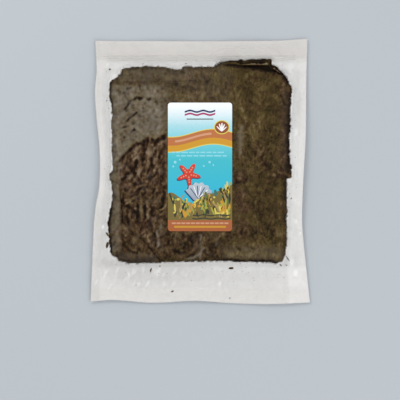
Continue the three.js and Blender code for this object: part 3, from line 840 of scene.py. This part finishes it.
def settle(heights, fixed, least, passes):
    """Pulls a web tight between its fixed points, never below the given heights."""
    heights = np.where(fixed, heights, np.maximum(heights, least))
    for _ in range(passes):
        inner = np.maximum(neighbours(heights) / 4, least[1:-1, 1:-1])
        heights[1:-1, 1:-1] = np.where(fixed[1:-1, 1:-1], heights[1:-1, 1:-1], inner)
    return heights


def seaweed_height(x, y):
    """Top of the seaweed anywhere over its outline, and zero outside it."""
    upper = inside_upper(x, y)
    over = np.where(inside_top(x, y) > -1, top_sheet_height(x, y), second_sheet_height(x, y))
    fan = np.where(inside_lower(x, y) > -1.2, fan_sheet_height(x, y), 0)
    return np.where(upper > -1.2, np.maximum(over, fan), fan)


def cloudiness(x, y, stack):
    """How milky the front web looks: hardly over the sheets, most where it slopes down beside them."""
    outside = np.maximum(-stack, 0)
    beside = np.exp(-outside / 6) * (1 - 0.3 * ease(100, 108, y))
    loose = ease(1.5, 4.5, outside) * ease(15, 8, outside) * ease(-94, -84, y)
    right = 0.22 * ease(88, 96, x) * ease(124, 112, y) * (1 - 0.35 * ease(30, 60, y))
    cloud = 0.42 + 0.42 * beside + 0.1 * loose + right
    cloud += 0.15 * ease(104, 110, y) + 0.15 * ease(-97, -103, y) - 0.34 * ease(116, 123, y)
    cloud *= ease(-0.2, 1.0, -stack - ragged(x, y))
    p, q = turned(x, y, 66)
    slanted = np.clip(noise(0.5 * p, q, 5, 85) - 0.12, 0, 1)
    cloud += 0.7 * slanted * ease(20, -50, x) * ease(-97, -104, y) * ease(-127, -119, y)
    # Painted glints: brighter, milkier spots at fixed places in the margins
    for cx, cy, size in (
        (94.3, -65.9, 1.5), (95.8, -95, 2.2), (100, -106.2, 1.8), (104.7, -65, 1.0), (100.5, -52, 1.2),
        (20.4, -118, 1.5), (-75, -108, 1.4), (-38, -118, 1.3), (100, 41, 1.8), (-102, -58, 1.2),
    ):
        cloud += 0.4 * np.exp(-(((x - cx) / size) ** 2) - ((y - cy) / (1.6 * size)) ** 2)
    return np.clip(cloud, 0, 1)


def pouch_webs():
    """Places of the grid over the pouch, with the heights of the front and the back web."""
    # The rows lie closer together round the zip
    columns = film_lines(HALF_WIDTH, -60.0, 60.0, 1.2, 1.3)
    rows = film_lines(HALF_HEIGHT, 116.0, 124.0, 1.25, 1.0)
    u, v = np.meshgrid(columns, rows, indexing="ij")
    x, y = place_on_pouch(u, v)
    seam = seam_height(u, v)
    sealed = (abs(u) >= HALF_WIDTH - SIDE_SEAL) | (v <= BOTTOM_SEAL - HALF_HEIGHT) | (v >= ZIP_RIBS[0] - 2)
    upper, lower = inside_upper(x, y), inside_lower(x, y)
    beneath = np.maximum(upper, lower) > -1
    back = np.where(beneath, underside(u, v), seam - SEAL_THICKNESS / 2)
    back = settle(back, sealed | beneath, np.zeros(u.shape), BACK_PASSES)
    contents = seaweed_height(x, y)
    raised = contents.copy()
    for di, dj in ((0, 1), (0, -1), (1, 0), (-1, 0)):
        raised = np.maximum(raised, np.roll(contents, (di, dj), axis=(0, 1)))
    least = np.maximum(raised + FILM_CLEARANCE, back + 0.25)
    front = settle(np.where(sealed, seam + SEAL_THICKNESS / 2, least), sealed, least, FRONT_PASSES)
    pucker = 0.5 * abs(noise(x, y * 0.45, 7, 81)) + 0.35 * abs(noise(x * 0.4, y, 6, 82))
    front += pucker * np.where(sealed, 0.2, 0.8) * ease(2, 9, -upper)
    front += 0.06 * noise(x, y, 4, 83)
    front = np.where(upper > 0, np.minimum(front, STACK_THICKNESS + HIGHEST_FOLD + 0.2), front)
    front = np.maximum(front, np.where(sealed, back + SEAL_THICKNESS, least - 0.02))
    return x, y, front, back


def film_piece(x, y, front, back):
    stack = np.maximum(inside_upper(x, y), inside_lower(x, y))
    back_cloud = np.where(stack > 0.5, 0.0, 0.86 - 0.1 * ease(104, 118, y))
    sealed = np.maximum(ease(112, 122, y), 0.3 * ease(-121, -126, y))
    # Painted shade at the foot of the stack, wider below its left part, and a little darker along the left
    # seal
    below = ease(-90, -96, y) * ease(20, -30, x) * ease(28, 6, -stack)
    near = ease(6.5, 1.5, -stack) * (1 - 0.7 * ease(-84, -92, x))
    shaded = 0.32 * near + 0.22 * below + 0.16 * ease(-104, -107, x)
    top, bottom = (np.c_[x.ravel(), y.ravel(), web.ravel()] for web in (front, back))
    return closed_sheet(
        "pouch_film", top, bottom, grid_cells(np.arange(x.size).reshape(x.shape)), [film_material()],
        attributes={
            "cloud": np.concatenate([cloudiness(x, y, stack).ravel(), back_cloud.ravel()]),
            "sealed": np.tile(sealed.ravel(), 2),
            "shaded": np.tile(shaded.ravel(), 2),
        },
    )


webs = pouch_webs()
film = film_piece(*webs)
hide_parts("seaweed_bag")


def zip_piece():
    """Two slim ribs of plastic that lie on the front web between the side seals."""
    points, faces = [], []
    stations = np.linspace(-ZIP_END, ZIP_END, 120)
    for rib, half_width, height in ((ZIP_RIBS[0], 1.3, 0.32), (ZIP_RIBS[1] + 0.6, 0.8, 0.25)):
        arch = np.linspace(0, math.pi, 7)
        profile = [(half_width * math.cos(a), height * math.sin(a)) for a in arch] + [(0, -0.15)]
        faces += loft(len(points), len(profile), len(stations))
        for along in stations:
            shrink = 0.3 if abs(along) == ZIP_END else 1.0
            x, y = place_on_pouch(along, rib)
            level = seam_height(along, rib) + SEAL_THICKNESS / 2 + 0.35
            points += [(x, y + across * shrink, level + up * shrink) for across, up in profile]
    return make_object("zip", points, faces, [zip_material()])


zip_ribs = zip_piece()


def on_front_web(x, y):
    """Height of the front web at a place, from the nearest point of its grid and the slope there."""
    web_x, web_y, front, _ = webs
    i, j = np.unravel_index(np.argmin((web_x - x) ** 2 + (web_y - y) ** 2), front.shape)
    slope_x = (front[i + 1, j] - front[i - 1, j]) / (web_x[i + 1, j] - web_x[i - 1, j])
    slope_y = (front[i, j + 1] - front[i, j - 1]) / (web_y[i, j + 1] - web_y[i, j - 1])
    return front[i, j] + slope_x * (x - web_x[i, j]) + slope_y * (y - web_y[i, j])


def crumb_piece():
    """Flakes and splinters of seaweed that came loose and cling to the front web in the margins."""
    rng = np.random.default_rng(7)
    # Places that stand out in the margins: x, y, length, width and turn in degrees
    flakes = [
        (-94.8, 107, 2.4, 1.9, 20), (-15, 112.8, 1.3, 1.1, 0), (-98, 74, 1.4, 1.0, 40),
        (-51.8, -103.5, 5.4, 1.5, 75), (32.2, -101.4, 5.0, 2.6, 5), (-29.2, -126, 3.2, 1.7, 30),
        (-42.3, -99.3, 1.8, 1.0, 10), (31.2, -133, 1.6, 1.0, 20), (95.3, -28.4, 2.2, 1.0, 70),
        (91.6, -91.4, 7.0, 0.9, 126), (84.3, -98.3, 3.4, 1.2, 135), (90.2, -98.3, 2.4, 0.9, 150),
        (-97.4, -77.2, 7.0, 2.8, 82), (-97.3, -65.9, 5.8, 2.0, 122), (96, 45, 1.2, 0.7, 15),
        (-60, 112.5, 1.4, 0.8, 25),
    ]
    total = len(flakes) + SMALL_FLAKES
    while len(flakes) < total:
        x, y = rng.uniform(-104, 104), rng.uniform(-128, 114)
        if 1.0 < -inside_lower(x, y) < 24 and abs(x) < 101:
            flakes.append((x, y, rng.uniform(0.4, 1.1), rng.uniform(0.3, 0.7), rng.uniform(0, 180)))
    # Each has a middle point, a ring half way out and a ragged rim, all a little above the web
    sides = 9
    angles = np.concatenate([[0.0], *[np.arange(sides) / sides * math.tau] * 2])
    cells = []
    for k in range(1, sides + 1):
        m = k % sides + 1
        cells += [(0, k, m), (k, sides + k, sides + m, m)]
    points, faces = [], []
    for x, y, length, width, turn in flakes:
        base = len(points)
        out = np.concatenate([[0.0], np.full(sides, 0.5), rng.uniform(0.8, 1.15, sides)])
        dx, dy = turned(length / 2 * np.cos(angles) * out, width / 2 * np.sin(angles) * out, -turn)
        level = np.array([on_front_web(*place) for place in zip(x + dx, y + dy)]) + 0.06 + 0.035 * length
        for side in (0.07, -0.07):
            points += np.c_[x + dx, y + dy, level + side].tolist()
        faces += [tuple(base + n for n in face) for face in closed_faces(cells, len(angles))]
    # The flakes take a little painted shade and no painted light or sheen
    return make_object("crumbs", points, faces, [seaweed], attributes={
        "painted_shade": 0.15, "painted_ridge_light": 0.0, "tone": 0.1, "warm": 0.5, "painted_sheen": 0.0,
    }, smooth=False)


crumbs = crumb_piece()


# The label's print is in millimetres from the label's middle, and these turns are in degrees
STAR_TURN = 12
SHELL_TURN = 76


def oval(cx, cy, rx, ry, count=32, turn=0.0):
    angles = np.arange(count) / count * math.tau
    dx, dy = turned(rx * np.cos(angles), ry * np.sin(angles), -turn)
    return np.c_[cx + dx, cy + dy]


def rounded_rectangle(width, height, radius, cy=0.0):
    points = []
    for k, (sx, sy) in enumerate(((1, 1), (-1, 1), (-1, -1), (1, -1))):
        cx, middle = sx * (width / 2 - radius), cy + sy * (height / 2 - radius)
        for angle in np.linspace(k, k + 1, 7) * math.pi / 2:
            points.append((cx + radius * math.cos(angle), middle + radius * math.sin(angle)))
    return np.array(points)


def band(level, thickness, x_from, x_to, rise=0.0, length=1.0, shift=0.0, count=2):
    """A straight band across the label, or a wavy one where a rise is given."""
    x = np.linspace(x_from, x_to, count)
    y = level + rise * np.sin((x + shift) / length)
    return np.concatenate([np.c_[x, y - thickness / 2], np.c_[x, y + thickness / 2][::-1]])


def blade(x, y, length, width, lean, curl, count=12):
    """A frond that grows up from a place, leans and curls, and ends in a point."""
    t = np.linspace(0, 1, count)
    px = x + lean * t + curl * np.sin(t * math.pi * 1.6)
    py = y + length * t
    half = width / 2 * np.sin(math.pi * np.clip(0.12 + 0.88 * (1 - t), 0, 1)) ** 0.7 + 0.05
    return np.concatenate([np.c_[px - half, py], np.c_[px + half, py][::-1]])


def star(cx, cy, reach, waist):
    """A rounded starfish outline."""
    angles = np.arange(60) / 60 * math.tau
    radius = waist + (reach - waist) * (0.5 + 0.5 * np.cos(5 * angles)) ** 1.7
    dx, dy = turned(radius * np.cos(angles), radius * np.sin(angles), STAR_TURN)
    return np.c_[cx + dx, cy + dy]


def scallop(cx, cy, reach):
    """A shell outline: a fan with a wavy rim that meets at a small hinge."""
    angles = np.linspace(math.radians(-72), math.radians(72), 43)
    radius = reach * (1 + 0.05 * np.cos(angles * 15)) * (0.86 + 0.14 * np.cos(angles))
    a = np.concatenate([[-0.18 * reach, -0.18 * reach], radius * np.cos(angles)])
    b = np.concatenate([[0.22 * reach, -0.22 * reach], radius * np.sin(angles)])
    dx, dy = turned(a, b, -SHELL_TURN)
    return np.c_[cx + dx, cy + dy]


# Inks of one colour, a little deeper at the label's foot, and inks that change up the label
FLAT_INKS = {
    "white": (250, 250, 250), "ochre": (212, 154, 30), "yellow": (228, 208, 92), "brown": (146, 74, 30),
    "navy": (36, 40, 92), "crimson": (170, 40, 96), "olive": (124, 106, 42), "tan": (176, 146, 84),
    "leaf": (92, 116, 50), "lime": (170, 168, 56), "dark": (40, 44, 24), "teal": (52, 112, 100),
    "pale": (150, 222, 236), "rose": (216, 158, 122),
}
RUNNING_INKS = {
    "water": [
        (0.0, 24, 160, 200), (0.3, 40, 182, 212), (0.55, 58, 188, 202), (0.7, 112, 206, 218),
        (0.82, 172, 222, 232), (0.9, 222, 240, 246), (0.97, 250, 252, 253),
    ],
    "orange": [(0.05, 166, 90, 40), (0.7, 188, 112, 58)],
    "red": [(0.3, 190, 30, 26), (0.55, 222, 62, 34)],
    "grey": [(0.25, 150, 160, 178), (0.45, 206, 218, 222)],
}


def label_inks():
    inks = {}
    for name, colour in FLAT_INKS.items():
        deeper = 0.97 if name == "white" else 0.86
        foot = [c * deeper for c in srgb(*colour)[:3]] + [1.0]
        inks[name] = print_material("ink_" + name, [(0.0, foot), (1.0, srgb(*colour))])
    for name, stops in RUNNING_INKS.items():
        inks[name] = print_material("ink_" + name, on_screen(*stops))
    return inks


def label_print():
    """The design as (ink, outline) fields, the later ones over the earlier ones."""
    half_w, half_h = LABEL_WIDTH / 2, LABEL_HEIGHT / 2
    fields = [("water", rounded_rectangle(LABEL_WIDTH, LABEL_HEIGHT, LABEL_CORNER))]

    def add(ink, outline):
        fields.append((ink, outline))

    # Two plain waves with a rule under them
    for ink, level in (("navy", 58.2), ("crimson", 55)):
        add(ink, band(level, 1.9, -16, 16, 0.8, 2.2, 0, 50))
    add("dark", band(50, 1.0, -14, 14))

    # A two-coloured ribbon that dips and rises across the label, with yellow edges
    for ink, level, thickness, x_from, x_to in (
        ("yellow", 27.5, 16.6, -half_w, half_w), ("orange", 30.6, 8.6, -half_w, half_w),
        ("ochre", 23.3, 6.2, -half_w, half_w), ("rose", 30.6, 2.2, -26, 12),
    ):
        add(ink, band(level, thickness, x_from, x_to, 4.2, 14, 8, 40))

    # A round badge with a sprig of narrow leaves on the right
    add("yellow", oval(22.8, 41.5, 8.2, 7.4))
    add("brown", oval(22.8, 41.5, 7.2, 6.4))
    for lean, length in ((-5, 5.5), (-2.4, 8), (0.4, 9), (3, 7.6), (5.2, 5)):
        add("white", blade(22.6, 37, length, 1.5, lean, 0))

    # Rules of pale dashes under the ribbon
    rng = np.random.default_rng(3)
    for row, level in enumerate((15.2, 11.6)):
        x = -half_w + 4 + 5 * row
        while x < half_w - 9:
            dash = rng.uniform(3, 8)
            add("pale", band(level, 1.3, x, min(x + dash, half_w - 5)))
            x += dash + 1.2

    # Sea life: bubbles, a starfish with spots and a shell with ribs
    for cx, cy, r in (
        (-26, 5, 1.5), (-21, 7.5, 0.9), (-28, 0.5, 1.0), (10, 5, 1.3), (14, 2, 0.8), (4, 1, 0.9),
    ):
        add("pale", oval(cx, cy, r, r, 16))
    add("navy", star(-12.2, -8.4, 13.4, 5.8))
    add("red", star(-12, -7.8, 12.8, 5.2))
    for k in range(5):
        for reach in (3.0, 5.6, 8.2):
            dx, dy = turned(reach, 0, STAR_TURN - 72 * k)
            add("rose", oval(dx - 12, dy - 7.8, 0.85, 0.85, 10))
    add("navy", scallop(-2.6, -34.2, 17.4))
    add("grey", scallop(-2, -33, 16.4))
    a, b = np.array([0, 0, 13.4, 13.4]), np.array([0.4, -0.4, -0.4, 0.4])
    for k in range(-3, 4):
        dx, dy = turned(a, b, -SHELL_TURN - 17 * k)
        add("navy" if k % 2 else "white", np.c_[dx - 2, dy - 33])
    add("yellow", oval(-2.8, -36.6, 3.4, 2.2, 20, SHELL_TURN))

    # Kelp forest: a dark bed that rises to the right, then leaves and fronds over it
    def crest(x):
        return -34 + 5 * math.sin(x / 6) + 19 * float(ease(8, 31, x)) + 3 * float(ease(-22, -33, x))

    bed = [(x, crest(x)) for x in np.linspace(-half_w, half_w, 40)]
    add("olive", np.array([(-half_w, -56), (half_w, -56)] + bed[::-1]))
    for k in range(26):
        x = rng.uniform(-half_w + 2, half_w - 2)
        y = rng.uniform(-54, crest(x) - 1)
        length, width, lean, curl = (rng.uniform(*ends) for ends in ((4, 9), (1.6, 3.6), (-2, 2), (-1, 1)))
        add(("dark", "teal", "leaf", "dark")[k % 4], blade(x, y - 3, length, width, lean, curl, 8))
    for k in range(120):
        x = half_w - 2.5 - (2 * half_w - 5) * rng.uniform() ** 1.3
        tall = rng.uniform(5, 11)
        y = rng.uniform(-54.5, max(crest(x) - 0.4 * tall, -52))
        lean = float(np.clip(x + rng.uniform(-4.5, 3.5), -half_w + 2.2, half_w - 2.2)) - x
        ink = ("lime", "tan", "leaf", "yellow", "olive", "dark", "ochre")[k % 7]
        add(ink, blade(x, y, tall, rng.uniform(1.3, 2.6), lean, rng.uniform(-0.8, 0.8), 8))
    for k in range(16):
        x = rng.uniform(-half_w + 3, half_w - 3)
        y = rng.uniform(-53, crest(x) - 2)
        size = rng.uniform(1.0, 2.1)
        add(("lime", "yellow", "ochre")[k % 3], oval(x, y, size, size * 0.8, 12))
    for level in (-50.5, -54):
        add("dark", band(level, 1.2, -8, half_w - 2, 0.5, 2.4, 0, 24))

    # The plain foot of the label with two rules
    add("orange", rounded_rectangle(LABEL_WIDTH, 11.6, 0.01, -half_h + 5.8))
    for k in range(12):
        add("rose", band(-58.9, 1.7, -29.5 + 5 * k, -25.3 + 5 * k))
    add("ochre", band(-62.6, 2.1, -27, 27))
    return fields


def label_piece():
    """A sheet of paper whose face is cut into the printed fields."""
    inks, fields = label_inks(), label_print()
    names = list(inks)
    half = LABEL_WIDTH / 2
    corners, edges = [], []
    for _, outline in fields:
        base, count = len(corners), len(outline)
        corners += [Vector((np.clip(px, -half, half), py)) for px, py in outline]
        edges += [(base + k, base + (k + 1) % count) for k in range(count)]
    # A coarse grid of points keeps the triangles short
    corners += [Vector((gx, gy)) for gx in np.arange(-30, 31, 6.0) for gy in np.arange(-63, 64, 6.0)]
    flat, _, triangles, *_ = geometry.delaunay_2d_cdt(corners, edges, [], 0, 1e-4)
    xy = np.array([(p.x, p.y) for p in flat])
    triangles = np.array([t for t in triangles if len(t) == 3])
    middle = xy[triangles].mean(axis=1).T
    inside = covers(fields[0][1], *middle)
    triangles, middle = triangles[inside], middle[:, inside]
    ink = np.zeros(len(triangles), int)
    for name, outline in fields:
        ink[covers(outline, *middle)] = names.index(name)
    used, triangles = np.unique(triangles, return_inverse=True)
    triangles = triangles.reshape(-1, 3)
    xy = xy[used]
    a, b, c = (xy[triangles[:, k]] for k in range(3))
    turn = (b - a)[:, 0] * (c - a)[:, 1] - (b - a)[:, 1] * (c - a)[:, 0]
    triangles = np.where((turn < 0)[:, None], triangles[:, ::-1], triangles)
    x, y = (xy + LABEL_CENTRE).T
    ripple = 0.04 * noise(x, y, 30, 91)
    piece = closed_sheet(
        "printed_label", np.c_[x, y, LABEL_FACE + ripple], np.c_[x, y, LABEL_BACK + ripple], triangles,
        list(inks.values()), ink, smooth=False,
    )
    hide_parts("label")
    return piece


label = label_piece()

# The floor, in metres, and its colour on screen
FLOOR_HALF = 4
FLOOR_LEVEL = -0.0006
FLOOR_COLOUR = (188, 194, 199)


def floor_piece():
    mesh = bpy.data.meshes.new("floor")
    r, z = FLOOR_HALF, FLOOR_LEVEL
    mesh.from_pydata([(-r, -r, z), (r, -r, z), (r, r, z), (-r, r, z)], [], [(0, 1, 2, 3)])
    mesh.materials.append(Shader("floor", 0.8).finish({"Base Color": srgb(*FLOOR_COLOUR)}))
    piece = add_object("floor", mesh)


floor_piece()

# Two lamps over the pack, with place, size, watts and colour, and a pale sky
LAMPS = [
    ("key", (-0.7, 0.75, 0.95), 0.6, 4.2, (1.0, 0.985, 0.96)),
    ("fill", (0.8, -0.7, 1.1), 1.0, 4.0, (1.0, 0.99, 0.98)),
]
SKY_COLOUR = (0.96, 0.98, 1.0, 1.0)
SKY_STRENGTH = 0.8


def studio():
    scene = bpy.context.scene
    scene.view_settings.view_transform = "Standard"
    scene.world = bpy.data.worlds.new("studio")
    scene.world.use_nodes = True
    sky = scene.world.node_tree.nodes["Background"].inputs
    sky["Color"].default_value = SKY_COLOUR
    sky["Strength"].default_value = SKY_STRENGTH
    for name, place, size, watts, colour in LAMPS:
        data = bpy.data.lights.new(name, "AREA")
        data.shape, data.size, data.energy, data.color = "DISK", size, watts, colour
        lamp = add_object(name, data)
        lamp.location = place
        lamp.rotation_euler = (-Vector(place)).to_track_quat("-Z", "Y").to_euler()


studio()

# The camera looks straight down. The photo is 400 pixels wide at 1.05 mm a pixel, and its middle
# is this point of the pack.
PHOTO_WIDTH = 400 * 1.05
PHOTO_MIDDLE = (-0.3, -30.0)
LENS = 240.0
SENSOR = 36.0


def photo_camera():
    data = bpy.data.cameras.new("photo_camera")
    data.lens, data.sensor_width = LENS, SENSOR
    data.clip_start, data.clip_end = 0.05, 20
    camera = add_object("photo_camera", data)
    camera.location = (PHOTO_MIDDLE[0] * MM, PHOTO_MIDDLE[1] * MM, PHOTO_WIDTH * MM * LENS / SENSOR + 3 * MM)
    bpy.context.scene.camera = camera


photo_camera()
